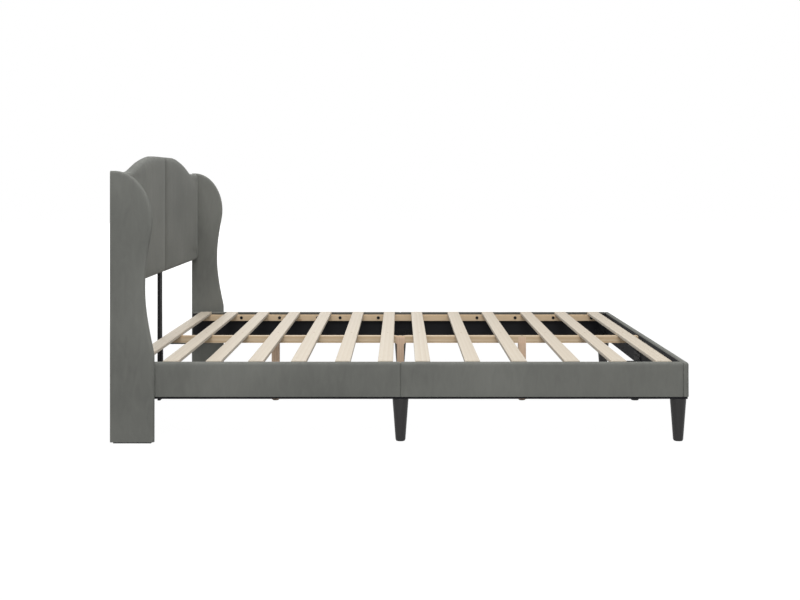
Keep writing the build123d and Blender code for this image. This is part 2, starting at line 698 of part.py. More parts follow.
# Bolts of the wings: out of the rails into the wings, and out of the wings into the
# headboard, with their heads sunk under the covers.
with BuildPart() as wing_bolts:
    for side_name, side in sides:
        for x in rail_wing_bolt_places:
            bolt((x, side * rail_inner_y, rail_wing_bolt_z), (0, side, 0), rail_wing_bolt)
        for z in headboard_bolt_heights:
            bolt((board_middle_x, side * headboard_bolt_seat_y, z), (0, -side, 0), headboard_bolt)
keep(wing_bolts, "wing_bolts")

# Glides under the legs and the post, and a strip under each wing.
wing_strip_x = (back_x + wing_edge_pad + wing_foot_inset,
                back_x + wing_depth - wing_edge_pad - wing_foot_inset)

with BuildPart() as floor_glides:
    for x, y in leg_places:
        rod((x, y, 0), (0, 0, 1), glide_height, leg_bottom_radius - glide_inset)
    for x in (centre_leg_offsets[0], 0, centre_leg_offsets[1]):
        rod((x, 0, 0), (0, 0, 1), glide_height, middle_leg_width / 2 - glide_inset)
    block((board_back_x, post_front_x), (-post_width / 2, post_width / 2), (0, glide_height))
    floor_edges = floor_glides.faces().group_by(Axis.Z)[0].edges()
    fillet(floor_edges, glide_edge_radius)
    for side_name, side in sides:
        block(wing_strip_x, (side * wing_board_inner_y, side * wing_board_outer_y), (0, wing_foot_height))
keep(floor_glides, "floor_glides")
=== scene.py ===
# Grey upholstered bed with a crowned headboard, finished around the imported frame.
# Metres. +X runs from head to foot, +Y to the left side, +Z up, as in the frame.
import json
import math
from functools import partial

import bmesh
import bpy
import numpy as np
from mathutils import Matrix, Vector, bvhtree, noise

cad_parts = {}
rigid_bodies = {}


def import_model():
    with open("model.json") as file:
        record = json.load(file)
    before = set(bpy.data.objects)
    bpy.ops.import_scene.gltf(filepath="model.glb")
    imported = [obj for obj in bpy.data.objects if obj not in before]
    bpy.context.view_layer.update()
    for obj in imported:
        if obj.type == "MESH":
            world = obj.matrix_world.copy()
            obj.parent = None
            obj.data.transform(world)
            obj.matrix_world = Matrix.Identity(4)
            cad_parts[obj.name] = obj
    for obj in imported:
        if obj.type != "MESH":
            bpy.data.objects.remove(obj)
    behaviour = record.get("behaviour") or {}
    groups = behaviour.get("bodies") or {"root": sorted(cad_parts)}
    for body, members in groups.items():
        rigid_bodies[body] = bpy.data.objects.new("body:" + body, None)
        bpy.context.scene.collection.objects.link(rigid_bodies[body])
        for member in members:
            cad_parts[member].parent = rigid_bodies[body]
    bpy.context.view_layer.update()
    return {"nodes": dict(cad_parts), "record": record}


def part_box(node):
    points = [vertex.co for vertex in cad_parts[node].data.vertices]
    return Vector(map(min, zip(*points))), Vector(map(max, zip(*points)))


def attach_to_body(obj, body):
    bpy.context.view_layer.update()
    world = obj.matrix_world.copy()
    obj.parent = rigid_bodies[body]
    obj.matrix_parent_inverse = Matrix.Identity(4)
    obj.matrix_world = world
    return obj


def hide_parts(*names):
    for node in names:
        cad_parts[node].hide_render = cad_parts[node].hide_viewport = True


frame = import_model()
print("frame loaded:", len(frame["nodes"]), "nodes")

mm = 0.001
body = "root"
sides = {"right": -1, "left": 1}
halves = ("head", "foot")
slotOf = {part["node"]: part["material_slot"] for part in frame["record"]["subparts"]}


# Helpers for nodes and materials
def fromHex(text):
    # sRGB hex to the linear values that shaders use
    parts = [int(text[at:at + 2], 16) / 255 for at in (0, 2, 4)]
    return (*[part / 12.92 if part <= 0.04045 else ((part + 0.055) / 1.055) ** 2.4 for part in parts], 1)


nodeFamilies = ("ShaderNode", "GeometryNode", "FunctionNode", "Node")


def addNode(tree, kind, settings={}, values={}, links={}):
    # the kind goes without its family's name; a link comes from an output, a node's first output, or a list
    node = tree.nodes.new(next(family + kind for family in nodeFamilies if hasattr(bpy.types, family + kind)))
    for name, value in settings.items():
        setattr(node, name, value)
    for socket, value in values.items():
        node.inputs[socket].default_value = value
    for socket, sources in links.items():
        for source in sources if isinstance(sources, list) else [sources]:
            tree.links.new(getattr(source, "outputs", [source])[0], node.inputs[socket])
    return node


def startMaterial(name, values):
    material = bpy.data.materials.new(name)
    material.use_nodes = True
    shader = material.node_tree.nodes["Principled BSDF"]
    for socket, value in values.items():
        shader.inputs[socket].default_value = value
    add = partial(addNode, material.node_tree)
    return material, add, shader, add("TexCoord").outputs["Object"]


def addPattern(add, place, sizes, kind, values={}, settings={}, turn=(0, 0, 0)):
    # a texture in coordinates in which one unit is as long as each size
    scaled = add("Mapping", values={"Rotation": turn, "Scale": [1 / size for size in sizes]},
                 links={"Vector": place})
    return add(kind, settings, {"Scale": 1, **values}, {"Vector": scaled})


def dressShader(add, shader, look, layers, height):
    # colours laid over each other by their shares, roughness between two values,
    # and a bump as deep as the real relief
    under = {}
    for colour, share in layers:
        mix = add("Mix", {"data_type": "RGBA"}, {6: fromHex(look["base"]), 7: fromHex(colour)},
                  {0: share, **under})
        under = {6: mix.outputs[2]}
    rough = add("MapRange", values={3: look["rough"][0], 4: look["rough"][1]}, links={0: height})
    bump = add("Bump", values={"Distance": look["relief"]}, links={"Height": height})
    sources = {"Base Color": under[6], "Roughness": rough.outputs[0], "Normal": bump.outputs[0]}
    for socket, source in sources.items():
        shader.id_data.links.new(source, shader.inputs[socket])


# Woven polyester velvet: a short dense pile with a satin nap, brushed into soft patches; the patches' lighter
# tone is painted sheen.
velvetLook = {
    "base": "636460", "towards": "787974",  # the velvet's own colour, and a lighter tone of painted sheen where the pile is brushed towards the eye
    "patch": (26 * mm, 26 * mm, 85 * mm), "lean": math.radians(20), "patchWeight": 0.45,
    "drift": (420 * mm, 420 * mm, 300 * mm),
    "tuft": 1.3 * mm, "tuftWeight": 0.3,  # real tufts are 0.4 mm apart, drawn coarser to show
    "span": (0.55, 1.2), "relief": 0.22 * mm, "rough": (0.82, 0.95),
    "sheen": 0.2, "sheenRough": 0.38, "sheenTint": "C9CBC6", "specular": 0.25,
}
fibreIor = 1.5  # polyester and wood alike


def makeVelvet(look):
    material, add, shader, place = startMaterial("greyVelvet", {
        "Sheen Weight": look["sheen"], "Sheen Roughness": look["sheenRough"],
        "Sheen Tint": fromHex(look["sheenTint"]), "Specular IOR Level": look["specular"], "IOR": fibreIor})
    patches = addPattern(add, place, look["patch"], "TexNoise", {"Detail": 3, "Distortion": 0.9},
                         turn=(0, look["lean"], 0))
    tone = addPattern(add, place, look["drift"], "TexNoise", {"Detail": 1})
    tufts = addPattern(add, place, [look["tuft"]] * 3, "TexNoise", {"Detail": 1.5})
    for pattern, weight in ((patches, look["patchWeight"]), (tufts, look["tuftWeight"])):
        tone = add("Math", {"operation": "MULTIPLY_ADD"}, {1: weight}, {0: pattern, 2: tone})
    # brushed patches shift the colour towards the lighter tone of painted sheen
    share = add("MapRange", values={1: look["span"][0], 2: look["span"][1]}, links={0: tone})
    dressShader(add, shader, look, [(look["towards"], share)], tufts)
    return material


# Planed, unvarnished wood: fine fibres along the grain, slow growth rings, and small knots in pine.
woodLooks = {
    "palePoplar": {"base": "CFC6B7", "late": "C6BAA8", "fleck": "B9A992", "grain": "Y",
                   "ring": (17 * mm, 1.1, 17 * mm), "ringCentre": (0.05, 0, 0.31),
                   "fibre": (1.1 * mm, 60 * mm, 1.1 * mm), "rough": (0.5, 0.72), "relief": 0.05 * mm},
    "pineAlongBed": {"base": "D6C3A7", "late": "C5AA88", "fleck": "AB8D6C", "grain": "X",
                     "ring": (0.7, 9 * mm, 9 * mm), "ringCentre": (0, 0.11, 0.19),
                     "fibre": (50 * mm, 1 * mm, 1 * mm), "rough": (0.5, 0.72), "relief": 0.06 * mm,
                     "knot": (210 * mm, 60 * mm, 60 * mm)},
    "pineUpright": {"base": "E2CAB1", "late": "D0AF94", "fleck": "AE8C72", "grain": "Z",
                    "ring": (8 * mm, 8 * mm, 0.6), "ringCentre": (0.3, 0.12, 0),
                    "fibre": (1 * mm, 1 * mm, 50 * mm), "rough": (0.5, 0.72), "relief": 0.06 * mm,
                    "knot": (60 * mm, 60 * mm, 210 * mm)},
    "stainedBeech": {"base": "2C2B2B", "late": "272626", "fleck": "333232", "grain": "Z",
                     "ring": (6 * mm, 6 * mm, 0.5), "ringCentre": (0.3, 0.3, 0),
                     "fibre": (0.9 * mm, 0.9 * mm, 25 * mm), "rough": (0.38, 0.55), "relief": 0.05 * mm},
}
woodGloss = {"IOR": fibreIor, "Specular IOR Level": 0.3}
waveUnit = 0.314  # at this scale a wave is one unit long
ringWave = {"Scale": waveUnit, "Distortion": 5, "Detail": 2, "Detail Scale": 0.6, "Detail Roughness": 0.5}
fleckSpan = {1: 0.5, 2: 0.8, 4: 0.5}  # only the densest fibres show, and half way
knotColour, knotSpan = "8A5A35", {1: 0.015, 2: 0.075, 3: 0.75, 4: 0}


def makeWood(name, look):
    material, add, shader, place = startMaterial(name, woodGloss)
    moved = add("Mapping", values={"Location": [-at for at in look["ringCentre"]]}, links={"Vector": place})
    fibres = addPattern(add, place, look["fibre"], "TexNoise", {"Detail": 3, "Roughness": 0.6})
    rings = addPattern(add, moved, look["ring"], "TexWave", ringWave,
                       {"wave_type": "RINGS", "rings_direction": look["grain"], "wave_profile": "SAW"})
    streak = add("MapRange", values=fleckSpan, links={0: fibres})
    layers = [(look["late"], rings.outputs["Fac"]), (look["fleck"], streak)]
    if "knot" in look:
        cells = addPattern(add, place, look["knot"], "TexVoronoi")
        layers.append((knotColour, add("MapRange", values=knotSpan, links={0: cells})))
    tone = add("Attribute", {"attribute_name": "boardTone"})  # 0 where a piece has none
    dressShader(add, shader, look, [*layers, (look["late"], tone.outputs["Fac"])], fibres)
    return material


# Plywood: rotary-cut veneers, seen as thin layers of two tones on a cut edge.
plywoodLook = {"base": "C9A577", "core": "A9845A", "ply": 3 * mm, "figure": (40 * mm, 40 * mm, 180 * mm),
               "plyWeight": 0.5, "figureWeight": 0.4, "start": 0.1, "rough": (0.6, 0.8), "relief": 0.08 * mm}


def makePlywood(name, thicknessAxis, look):
    material, add, shader, place = startMaterial(name, woodGloss)
    plies = addPattern(add, place, [look["ply"]] * 3, "TexWave", {"Scale": waveUnit, "Distortion": 0},
                       {"bands_direction": thicknessAxis})
    figure = addPattern(add, place, look["figure"], "TexNoise", {"Detail": 5, "Distortion": 1.5})
    share = add("Math", {"operation": "MULTIPLY_ADD"}, {1: look["plyWeight"], 2: look["start"]},
                {0: plies.outputs["Fac"]})
    mixed = add("Math", {"operation": "MULTIPLY_ADD"}, {1: look["figureWeight"]}, {0: figure, 2: share})
    dressShader(add, shader, look, [(look["core"], mixed)], figure)
    return material


# Finishes with a grain too small to have a direction
grainLooks = {
    # baked polyester powder: a faint orange peel
    "blackPowderCoat": {"base": "1B1B1C", "speck": "252526", "grain": 1.2 * mm, "relief": 0.06 * mm,
                        "rough": (0.5, 0.7), "specular": 0.12},
    # oil-blackened steel: a dull metal gleam
    "blackOxideSteel": {"base": "171718", "speck": "29292A", "grain": 2 * mm, "relief": 0.03 * mm,
                        "rough": (0.35, 0.55), "metallic": 1},
    # yellow-passivated zinc on screws: low in shine
    "zincScrewSteel": {"base": "B49A78", "speck": "8F7858", "grain": 2 * mm, "relief": 0.03 * mm,
                       "rough": (0.35, 0.5), "metallic": 1},
    # moulded glides: a fine matt texture
    "blackPolyethylene": {"base": "1C1C1D", "speck": "262627", "grain": 0.8 * mm, "relief": 0.05 * mm,
                          "rough": (0.5, 0.65), "specular": 0.3},
    # bonded polyester thread: matt, with a fine twist
    "greyThread": {"base": "565753", "speck": "6C6D69", "grain": 0.4 * mm, "relief": 0.08 * mm,
                   "rough": (0.7, 0.85), "specular": 0.3},
    # galvanised and flattened staple wire: bright edges
    "galvanisedWire": {"base": "A9ABAD", "speck": "8A8C8E", "grain": 1.5 * mm, "relief": 0.02 * mm,
                       "rough": (0.25, 0.4), "metallic": 1},
}


def makeGrainy(name, look):
    material, add, shader, place = startMaterial(name, {
        "Metallic": look.get("metallic", 0), "Specular IOR Level": look.get("specular", 0.5)})
    grain = addPattern(add, place, [look["grain"]] * 3, "TexNoise", {"Detail": 2})
    dressShader(add, shader, look, [(look["speck"], grain)], grain)
    return material


# Spun-bonded polypropylene: matted fibres pressed with a lattice of small bonding points.
backingLook = {"base": "191A1B", "bond": "27272A", "bondPitch": 2.6 * mm, "bondSpread": 0.35,
               "fibreSize": 0.7 * mm, "fibreWeight": 0.5, "relief": 0.12 * mm, "rough": (0.6, 0.85),
               "specular": 0.12}


def makeBackingCloth(look):
    values = {"Specular IOR Level": look["specular"]}
    material, add, shader, place = startMaterial("blackBackingCloth", values)
    bonds = addPattern(add, place, [look["bondPitch"]] * 3, "TexVoronoi",
                       {"Randomness": look["bondSpread"]})
    fibres = addPattern(add, place, [look["fibreSize"]] * 3, "TexNoise", {"Detail": 3, "Distortion": 1})
    height = add("Math", {"operation": "MULTIPLY_ADD"}, {1: look["fibreWeight"]}, {0: fibres, 2: bonds})
    dressShader(add, shader, look, [(look["bond"], height)], height)
    return material


finishes = {"greyVelvet": makeVelvet(velvetLook), "blackBackingCloth": makeBackingCloth(backingLook)}
finishes |= {name: makeWood(name, look) for name, look in woodLooks.items()}
finishes |= {name: makeGrainy(name, look) for name, look in grainLooks.items()}
for finishName, axis in {"plywoodAcrossBed": "Y", "plywoodAlongBed": "X"}.items():
    finishes[finishName] = makePlywood(finishName, axis, plywoodLook)
print("finishes made:", len(finishes))

# The frame's own pieces keep their shapes and take these finishes.
slotFinish = {"pine": "pineAlongBed", "poplar": "palePoplar", "dark_wood": "stainedBeech",
              "black_steel": "blackPowderCoat", "black_plastic": "blackPolyethylene",
              "dark_screw_steel": "blackOxideSteel", "plywood": "plywoodAcrossBed",
              "velvet": "greyVelvet", "black_cloth": "blackBackingCloth"}
nodeFinish = {f"centre_leg_{place}": "pineUpright" for place in ("head", "middle", "foot")}
nodeFinish |= {f"{part}_board": "plywoodAlongBed" for part in ("headboard", "foot_rail")}
for node, piece in frame["nodes"].items():
    for materialSlot in piece.material_slots:
        materialSlot.material = finishes[nodeFinish.get(node, slotFinish[slotOf[node]])]


# Mesh helpers
meshing = {"weld": 0.01 * mm, "sharpAngle": math.radians(38), "rimSteps": 4, "overrun": 20 * mm}


def newObject(name, data):
    holder = bpy.data.objects.new(name, data)
    bpy.context.scene.collection.objects.link(holder)
    return holder


def makePiece(name, shape, finish=None):
    # a finished bmesh becomes an object at the origin
    mesh = bpy.data.meshes.new(name)
    shape.to_mesh(mesh)
    shape.free()
    if finish:
        mesh.materials.append(finishes[finish])
    return newObject(name, mesh)


def settle(piece):
    # the object's mesh becomes what its modifiers make of it
    bpy.context.view_layer.update()
    evaluated = piece.evaluated_get(bpy.context.evaluated_depsgraph_get())
    mesh = bpy.data.meshes.new_from_object(evaluated)
    piece.modifiers.clear()
    old, piece.data = piece.data, mesh
    bpy.data.meshes.remove(old)
    mesh.name = piece.name


def shadeBySharpness(piece):
    piece.data.shade_smooth()
    piece.data.set_sharp_from_angle(angle=meshing["sharpAngle"])


def readPoints(mesh, what="co"):
    points = np.zeros(len(mesh.vertices) * 3)
    mesh.vertices.foreach_get(what, points)
    return points.reshape(-1, 3)


def writePoints(mesh, points):
    mesh.vertices.foreach_set("co", points.ravel())
    mesh.update()


def slowWaves(points, size):
    # the unevenness that hand-laid fabric keeps, between about -1 and 1
    return np.array([noise.noise(Vector(point) / size) for point in points])


def camelName(words):
    first, *others = words.split("_")
    return first + "".join(word.capitalize() for word in others)


def takeShape(node):
    # the node's loose triangles, joined
    shape = bmesh.new()
    shape.from_mesh(frame["nodes"][node].data)
    bmesh.ops.remove_doubles(shape, verts=shape.verts, dist=meshing["weld"])
    shape.verts.index_update()
    return shape


def loopArea(loop):
    # above zero when the loop runs counterclockwise
    return (loop[:, 0] * np.roll(loop[:, 1], -1) - loop[:, 1] * np.roll(loop[:, 0], -1)).sum() / 2


def cutLoop(node, axis, share):
    # the largest outline where a plane square to the axis cuts the node, in its two other coordinates,
    # counterclockwise from its lowest point
    low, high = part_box(node)
    normal = Vector([float(at == axis) for at in range(3)])
    shape = takeShape(node)
    cut = bmesh.ops.bisect_plane(shape, geom=[*shape.verts, *shape.edges, *shape.faces],
                                 plane_co=low.lerp(high, share), plane_no=normal)
    shape.verts.index_update()
    joined = {}
    for edge in cut["geom_cut"]:
        if isinstance(edge, bmesh.types.BMEdge):
            first, second = edge.verts
            joined.setdefault(first.index, set()).add(second.index)
            joined.setdefault(second.index, set()).add(first.index)
    places = np.delete(np.array([vert.co for vert in shape.verts]), axis, axis=1)
    shape.free()
    loops = []
    while joined:
        walk = [min(joined)]
        while joined.get(walk[-1]):
            following = min(joined[walk[-1]])
            joined[walk[-1]].discard(following)
            joined[following].discard(walk[-1])
            walk.append(following)
        joined = {at: near for at, near in joined.items() if near}
        loops.append(places[walk[:-1]])
    outline = max(loops, key=lambda loop: np.prod(np.ptp(loop, axis=0)))
    outline = outline[np.linalg.norm(outline - np.roll(outline, 1, axis=0), axis=1) > meshing["weld"]]
    outline = outline if loopArea(outline) > 0 else outline[::-1]
    return np.roll(outline, -int(np.lexsort((outline[:, 0], outline[:, 1]))[0]), axis=0)


def growLoop(loop, distance):
    # the loop moved outwards, with its corners kept sharp
    ahead = np.roll(loop, -1, axis=0) - loop
    ahead /= np.linalg.norm(ahead, axis=1)[:, None]
    outward = np.stack([ahead[:, 1], -ahead[:, 0]], axis=1)
    before = np.roll(outward, 1, axis=0)
    return loop + (outward + before) / (1 + (outward * before).sum(axis=1))[:, None] * distance


def rectangleLoop(low, high, radii=(0, 0, 0, 0)):
    # corner radii in the order lower left, lower right, upper right, upper left
    steps, points = meshing["rimSteps"] * 2, []
    for number, radius in enumerate(radii):
        x = low[0] + radius if number in (0, 3) else high[0] - radius
        y = low[1] + radius if number < 2 else high[1] - radius
        for turn in range(steps + 1) if radius else [0]:
            angle = math.radians(180 + 90 * number + 90 * turn / steps)
            points.append((x + radius * math.cos(angle), y + radius * math.sin(angle)))
    return np.array(points)


def placePoint(pair, axis, depth):
    return [*pair[:axis], depth, *pair[axis:]]


def slabShape(loop, axis, ends, radii=(0, 0)):
    # a solid with the loop as its outline and its two rims rounded
    layers = []
    for end, radius, inwards in ((ends[0], radii[0], 1), (ends[1], radii[1], -1)):
        quarter = math.pi / 2 / meshing["rimSteps"]
        angles = [step * quarter for step in range(meshing["rimSteps"] + 1)] if radius else [math.pi / 2]
        rim = [(end + inwards * radius * (1 - math.cos(angle)), radius * (1 - math.sin(angle)))
               for angle in angles]
        layers += rim[::inwards]
    shape = bmesh.new()
    rings = [[shape.verts.new(placePoint(pair, axis, depth)) for pair in growLoop(loop, -inset).tolist()]
             for depth, inset in layers]
    for lower, upper in zip(rings, rings[1:]):
        for at in range(len(lower)):
            shape.faces.new((lower[at - 1], lower[at], upper[at], upper[at - 1]))
    shape.faces.new(rings[0])
    shape.faces.new(rings[-1])
    bmesh.ops.recalc_face_normals(shape, faces=shape.faces)
    return shape


def boxShape(low, high):
    return slabShape(rectangleLoop(low, high), 2, (low[2], high[2]))


def trimShape(node, axis, above=0):
    # a cutter for what is drawn past the low side of a node's box
    clear = Vector((meshing["overrun"],) * 3)
    low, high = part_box(node)
    start, end = low - clear, high + clear
    start[axis] -= clear[axis]
    end[axis] = low[axis] + above
    return boxShape(start, end)


def cutAway(piece, shapes, operation="DIFFERENCE"):
    tools = [makePiece(f"cutter{number}", shape) for number, shape in enumerate(shapes)]
    for tool in tools:
        cut = piece.modifiers.new("cut", "BOOLEAN")
        cut.operation, cut.solver, cut.object = operation, "MANIFOLD", tool
    settle(piece)
    for tool in tools:
        bpy.data.meshes.remove(tool.data)


def attach(piece, nodes):
    shadeBySharpness(piece)
    if nodes:
        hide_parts(*nodes)
    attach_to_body(piece, body)


# Padding: each pad starts flatter than its place and is blown up as cloth, held where it is nailed down.
# Only a pad's outward movement is kept, and it levels off at the swell.
clothSettings = {"quality": 4, "use_pressure": True, "uniform_pressure_force": 4.0, "tension_stiffness": 12,
                 "compression_stiffness": 12, "bending_stiffness": 0.4, "vertex_group_mass": "held"}
swelling = {"lastFrame": 20, "levelling": 9 * mm, "evenShare": 0.35, "rippleSize": 85 * mm,
            "rippleDepth": 0.45 * mm}
pads = []


def padName(cover):
    return camelName(cover.rsplit("_", 1)[0] + "_upholstery")


def startPad(cover, shape, pad, limits, isHeld):
    surface = bvhtree.BVHTree.FromBMesh(shape)
    piece = makePiece(padName(cover), shape, "greyVelvet")
    remesh = piece.modifiers.new("remesh", "REMESH")
    remesh.mode, remesh.voxel_size = "VOXEL", pad["voxel"]
    settle(piece)
    points = np.array([surface.find_nearest(Vector(point))[0] for point in readPoints(piece.data)])
    writePoints(piece.data, points)
    held = isHeld(points)
    group = piece.vertex_groups.new(name="held")
    group.add([int(at) for at in np.flatnonzero(held)], 1, "REPLACE")
    cloth = piece.modifiers.new("padding", "CLOTH")
    for name, value in clothSettings.items():
        setattr(cloth.settings, name, value)
    cloth.settings.effector_weights.gravity = 0
    cloth.point_cache.frame_start, cloth.point_cache.frame_end = 1, swelling["lastFrame"]
    pads.append({"piece": piece, "start": points, "swell": pad["swell"], "limits": limits, "held": held})
    return piece


def blowUpPads():
    for number in range(1, swelling["lastFrame"] + 1):
        bpy.context.scene.frame_set(number)
    graph = bpy.context.evaluated_depsgraph_get()
    blown = [readPoints(pad["piece"].evaluated_get(graph).data) for pad in pads]
    for pad, points in zip(pads, blown):
        piece, start = pad["piece"], pad["start"]
        piece.modifiers.clear()
        normals = readPoints(piece.data, "normal")
        outward = np.maximum(((points - start) * normals).sum(axis=1), 0)
        uneven = (1 - swelling["evenShare"]) * np.exp(-outward / swelling["levelling"])
        grown = pad["swell"] * (1 - uneven)
        ripple = np.where(pad["held"], 0, swelling["rippleDepth"])
        waves = ripple * slowWaves(start, swelling["rippleSize"])
        writePoints(piece.data, np.clip(start + normals * (grown + waves)[:, None], *pad["limits"]))
        smooth = piece.modifiers.new("fine", "SUBSURF")
        smooth.levels = smooth.render_levels = 1
        settle(piece)
    bpy.context.scene.frame_set(1)


def finishPad(cover, cutters):
    piece = bpy.data.objects[padName(cover)]
    cutAway(piece, cutters)
    attach(piece, [cover])


def growOutline(board, cover, axis, pad):
    # the cover's outline, short of its place by the gap, from the board inside it
    low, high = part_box(cover)
    padding = high.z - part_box(board)[1].z - pad["edgeGap"]
    return growLoop(cutLoop(board, axis, pad["boardShare"]), padding), low, high


# Side wings, padded all round a board
wingPad = {"voxel": 5 * mm, "swell": 1.6 * mm, "edgeGap": 0.5 * mm, "rimRadius": 7.5 * mm,
           "innerGap": 0.6 * mm, "hem": 10 * mm, "boardShare": 0.5, "fill": 0.9}
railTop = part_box("foot_rail_cover")[1].z
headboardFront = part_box("headboard_pad")[1].x


def startWing(wing, side):
    loop, low, high = growOutline(f"{wing}_board", f"{wing}_cover", 1, wingPad)
    inner, outer = sorted((low.y, high.y), key=abs)
    ends = sorted((inner + side * wingPad["innerGap"], outer - side * wingPad["swell"]))

    # the back and the foot are drawn past their places and cut flat at the end
    hem = wingPad["hem"]
    loop[:, 0] -= np.where(loop[:, 0] < low.x + hem, hem, 0)
    loop[:, 1] -= np.where(loop[:, 1] < low.z + hem, hem, 0)

    def isHeld(points):
        inside = np.abs(points[:, 1]) < abs(inner) + 2 * wingPad["innerGap"]
        covered = (points[:, 0] < headboardFront) | (points[:, 2] < railTop)
        return (inside & covered) | (points[:, 0] < low.x) | (points[:, 2] < low.z)

    shape = slabShape(loop, 1, ends, (wingPad["rimRadius"],) * 2)
    startPad(f"{wing}_cover", shape, wingPad, (low - Vector((hem, 0, hem)), high), isHeld)


def finishWing(wing):
    board, cover = f"{wing}_board", f"{wing}_cover"
    low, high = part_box(board)
    hollow = cutLoop(board, 1, wingPad["boardShare"])
    hollow[:, 1] -= np.where(hollow[:, 1] < low.z + meshing["weld"], meshing["overrun"], 0)
    cutters = [slabShape(hollow, 1, (low.y, high.y)), trimShape(cover, 2), trimShape(cover, 0)]
    finishPad(cover, cutters)


# Headboard: two crowned panels with a sewn seam between them
headboardPad = {"voxel": 8 * mm, "swell": 7 * mm, "edgeGap": 0.4 * mm, "frontStart": 7.5 * mm,
                "rimRadius": 10 * mm, "hem": 10 * mm, "backHeld": 5 * mm, "seamHeld": 5 * mm,
                "seamWidth": 15 * mm, "seamDepth": 3.4 * mm, "creaseWidth": 2.2 * mm, "creaseDepth": 1.6 * mm,
                "boardShare": 0.9, "fill": 0.85}


def startHeadboard():
    pad = headboardPad
    loop, low, high = growOutline("headboard_board", "headboard_pad", 0, pad)

    def isHeld(points):
        return (points[:, 0] < low.x + pad["backHeld"]) | (np.abs(points[:, 1]) < pad["seamHeld"])

    shape = slabShape(loop, 0, (low.x - pad["hem"], high.x - pad["frontStart"]), (0, pad["rimRadius"]))
    piece = startPad("headboard_pad", shape, pad, (low - Vector((pad["hem"], 0, 0)), high), isHeld)
    points = pads[-1]["start"]
    dip = pad["seamDepth"] * np.exp(-(points[:, 1] / pad["seamWidth"]) ** 2)
    points[:, 0] -= np.where(points[:, 0] > low.x + 2 * pad["backHeld"], dip, 0)
    writePoints(piece.data, points)


def finishHeadboard():
    pad, mesh = headboardPad, bpy.data.objects["headboardUpholstery"].data
    low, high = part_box("headboard_board")
    postLow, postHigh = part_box("headboard_post")
    points = readPoints(mesh)
    crease = pad["creaseDepth"] * np.exp(-(np.abs(points[:, 1]) / pad["creaseWidth"]))
    points[:, 0] -= np.where(points[:, 0] > high.x, crease, 0)
    writePoints(mesh, points)
    clear = meshing["overrun"]
    back = low.x - clear
    hollow = slabShape(cutLoop("headboard_board", 0, pad["boardShare"]), 0, (back, high.x))
    notch = boxShape((back, postLow.y, low.z - clear), (postHigh.x, postHigh.y, low.z + clear))
    finishPad("headboard_pad", [hollow, notch, trimShape("headboard_pad", 0)])


# Rails: a padded wrap over the outside and the top of each board, turned in under the top's inner edge
# The height of black lining left showing under each rail's cover is the real turned-under lining, drawn
# taller to stand in for painted shade under the cover's bottom edge.
railPad = {"voxel": 6 * mm, "swell": 2 * mm, "topGap": 0.5 * mm, "edgeRadius": 8 * mm, "endOver": 3 * mm,
           "press": 0.4 * mm, "hem": 8 * mm, "lip": 7 * mm, "liningShows": 3.5 * mm, "fill": 0.75}


def startSideRail(cover, side):
    low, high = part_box(cover)
    inner, outer = sorted((low.y, high.y), key=abs)
    over, hem, radius = railPad["endOver"], railPad["hem"], railPad["edgeRadius"]
    across = sorted((inner - side * over, outer - side * railPad["swell"]))
    loop = rectangleLoop((across[0], low.z - hem), (across[1], high.z - railPad["topGap"]),
                         (0, 0, radius, 0) if side > 0 else (0, 0, 0, radius))

    def isHeld(points):
        return (np.abs(points[:, 1]) < abs(inner)) | (points[:, 2] < low.z - hem / 2)

    # the halves press on each other at their ends
    limits = (low - Vector((railPad["press"], 0, hem)), high + Vector((railPad["press"], 0, 0)))
    startPad(cover, slabShape(loop, 0, (low.x - over, high.x + over)), railPad, limits, isHeld)


def startFootRail():
    low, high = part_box("foot_rail_cover")
    gap, hem, radius = railPad["topGap"], railPad["hem"], railPad["edgeRadius"]
    loop = rectangleLoop((low.y + gap, low.z - hem), (high.y - gap, high.z - gap), (0, 0, radius, radius))

    def isHeld(points):
        return (points[:, 0] < low.x) | (points[:, 2] < low.z - hem / 2)

    shape = slabShape(loop, 0, (low.x - railPad["endOver"], high.x - railPad["swell"]), (0, radius))
    startPad("foot_rail_cover", shape, railPad, (low - Vector((0, 0, hem)), high), isHeld)


def finishRail(cover, axis):
    # the board and the open space on its inner side are cut out, up to the turned-in edge
    low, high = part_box(cover)
    boardLow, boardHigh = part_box(cover.replace("cover", "board"))
    boardInner, boardOuter = sorted((boardLow[axis], boardHigh[axis]), key=abs)
    clear, lip = meshing["overrun"], high.z - railPad["lip"]
    inner = min(low[axis], high[axis], key=abs) - math.copysign(clear, boardOuter)
    hollow = [(inner, low.z - clear), (inner, lip), (boardInner, lip), (boardInner, boardHigh.z),
              (boardOuter, boardHigh.z), (boardOuter, low.z - clear)]
    ends = (low.x - clear, high.x + clear) if axis else (boardLow.y, boardHigh.y)
    # the cover is cut short so that the black lining shows below it, partly standing in for painted shade
    # under the rail's bottom edge
    cutters = [slabShape(np.array(hollow), 1 - axis, ends), trimShape(cover, 2, railPad["liningShows"])]
    finishPad(cover, cutters)


for sideName, side in sides.items():
    startWing(f"{sideName}_wing", side)
    for half in halves:
        startSideRail(f"{sideName}_rail_{half}_cover", side)
startHeadboard()
startFootRail()
print("pads started:", len(pads))
blowUpPads()
print("pads blown up")
for sideName in sides:
    finishWing(f"{sideName}_wing")
    for half in halves:
        finishRail(f"{sideName}_rail_{half}_cover", 1)
finishHeadboard()
finishRail("foot_rail_cover", 0)
print("pads finished")

# Black backing cloth, stapled on the inner faces and the back
backingSheet = {"thickness": 0.4 * mm, "step": 14 * mm, "wave": 60 * mm, "waveDepth": 0.18 * mm,
                "turn": 0.6 * mm}


def bentStrip(points):
    # a profile with steps no longer than the setting, so that the cloth can wave
    result = [points[0]]
    for start, end in zip(points, points[1:]):
        count = max(1, math.ceil(math.dist(start, end) / backingSheet["step"]))
        start, end = np.array(start), np.array(end)
        result += [tuple(start + (end - start) * at / count) for at in range(1, count + 1)]
    return result


